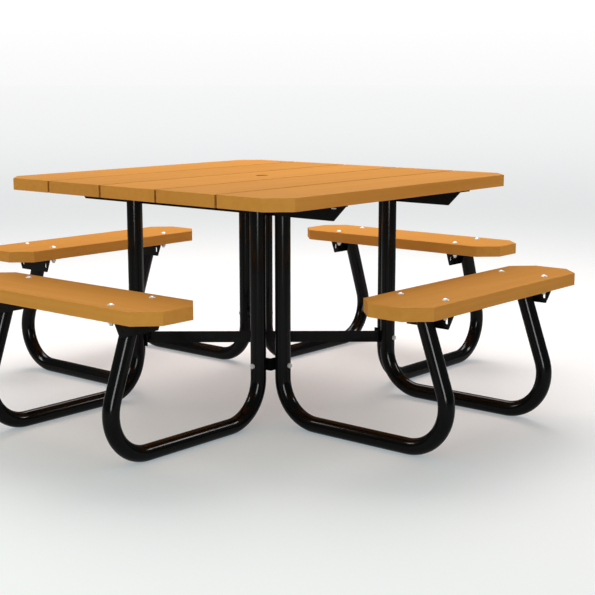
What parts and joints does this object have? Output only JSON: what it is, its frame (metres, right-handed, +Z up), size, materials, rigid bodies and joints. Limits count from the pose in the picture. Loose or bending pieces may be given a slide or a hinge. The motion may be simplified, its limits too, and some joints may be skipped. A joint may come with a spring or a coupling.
{
  "type": "picnic table",
  "caption": "Square picnic table with plank top, umbrella hole and an attached bench on each side, on bent steel tube legs.",
  "frame": {"origin": "on the ground under the centre of the table top", "axes": "+Z up, top planks run along Y, steel beams run along X"},
  "size_m": [1.9164, 1.9164, 0.742],
  "materials": {
    "lumber": "cedar coloured recycled plastic lumber, satin",
    "frame_steel": "gloss black powder coat",
    "fasteners": "bright zinc plate"
  },
  "bodies": {
    "root": {"top_plank_1": "lumber", "top_plank_2": "lumber", "top_plank_3": "lumber", "top_plank_4": "lumber", "top_plank_5": "lumber", "seat_plank_right": "lumber", "seat_plank_back": "lumber", "seat_plank_left": "lumber", "seat_plank_front": "lumber", "leg_right_1": "frame_steel", "seat_bracket_right_1": "frame_steel", "leg_right_2": "frame_steel", "seat_bracket_right_2": "frame_steel", "leg_back_1": "frame_steel", "seat_bracket_back_1": "frame_steel", "leg_back_2": "frame_steel", "seat_bracket_back_2": "frame_steel", "leg_left_1": "frame_steel", "seat_bracket_left_1": "frame_steel", "leg_left_2": "frame_steel", "seat_bracket_left_2": "frame_steel", "leg_front_1": "frame_steel", "seat_bracket_front_1": "frame_steel", "leg_front_2": "frame_steel", "seat_bracket_front_2": "frame_steel", "top_beam_back": "frame_steel", "top_beam_front": "frame_steel", "brace_clip_1": "frame_steel", "brace_clip_2": "frame_steel", "brace_clip_3": "frame_steel", "brace_clip_4": "frame_steel", "brace_bar_1": "frame_steel", "brace_bar_2": "frame_steel", "seat_bolts": "fasteners", "seat_nuts": "fasteners", "brace_bolts": "fasteners", "brace_nuts": "fasteners", "beam_bolts": "fasteners", "beam_nuts": "fasteners", "plank_screws": "fasteners"}
  },
  "joints": []
}
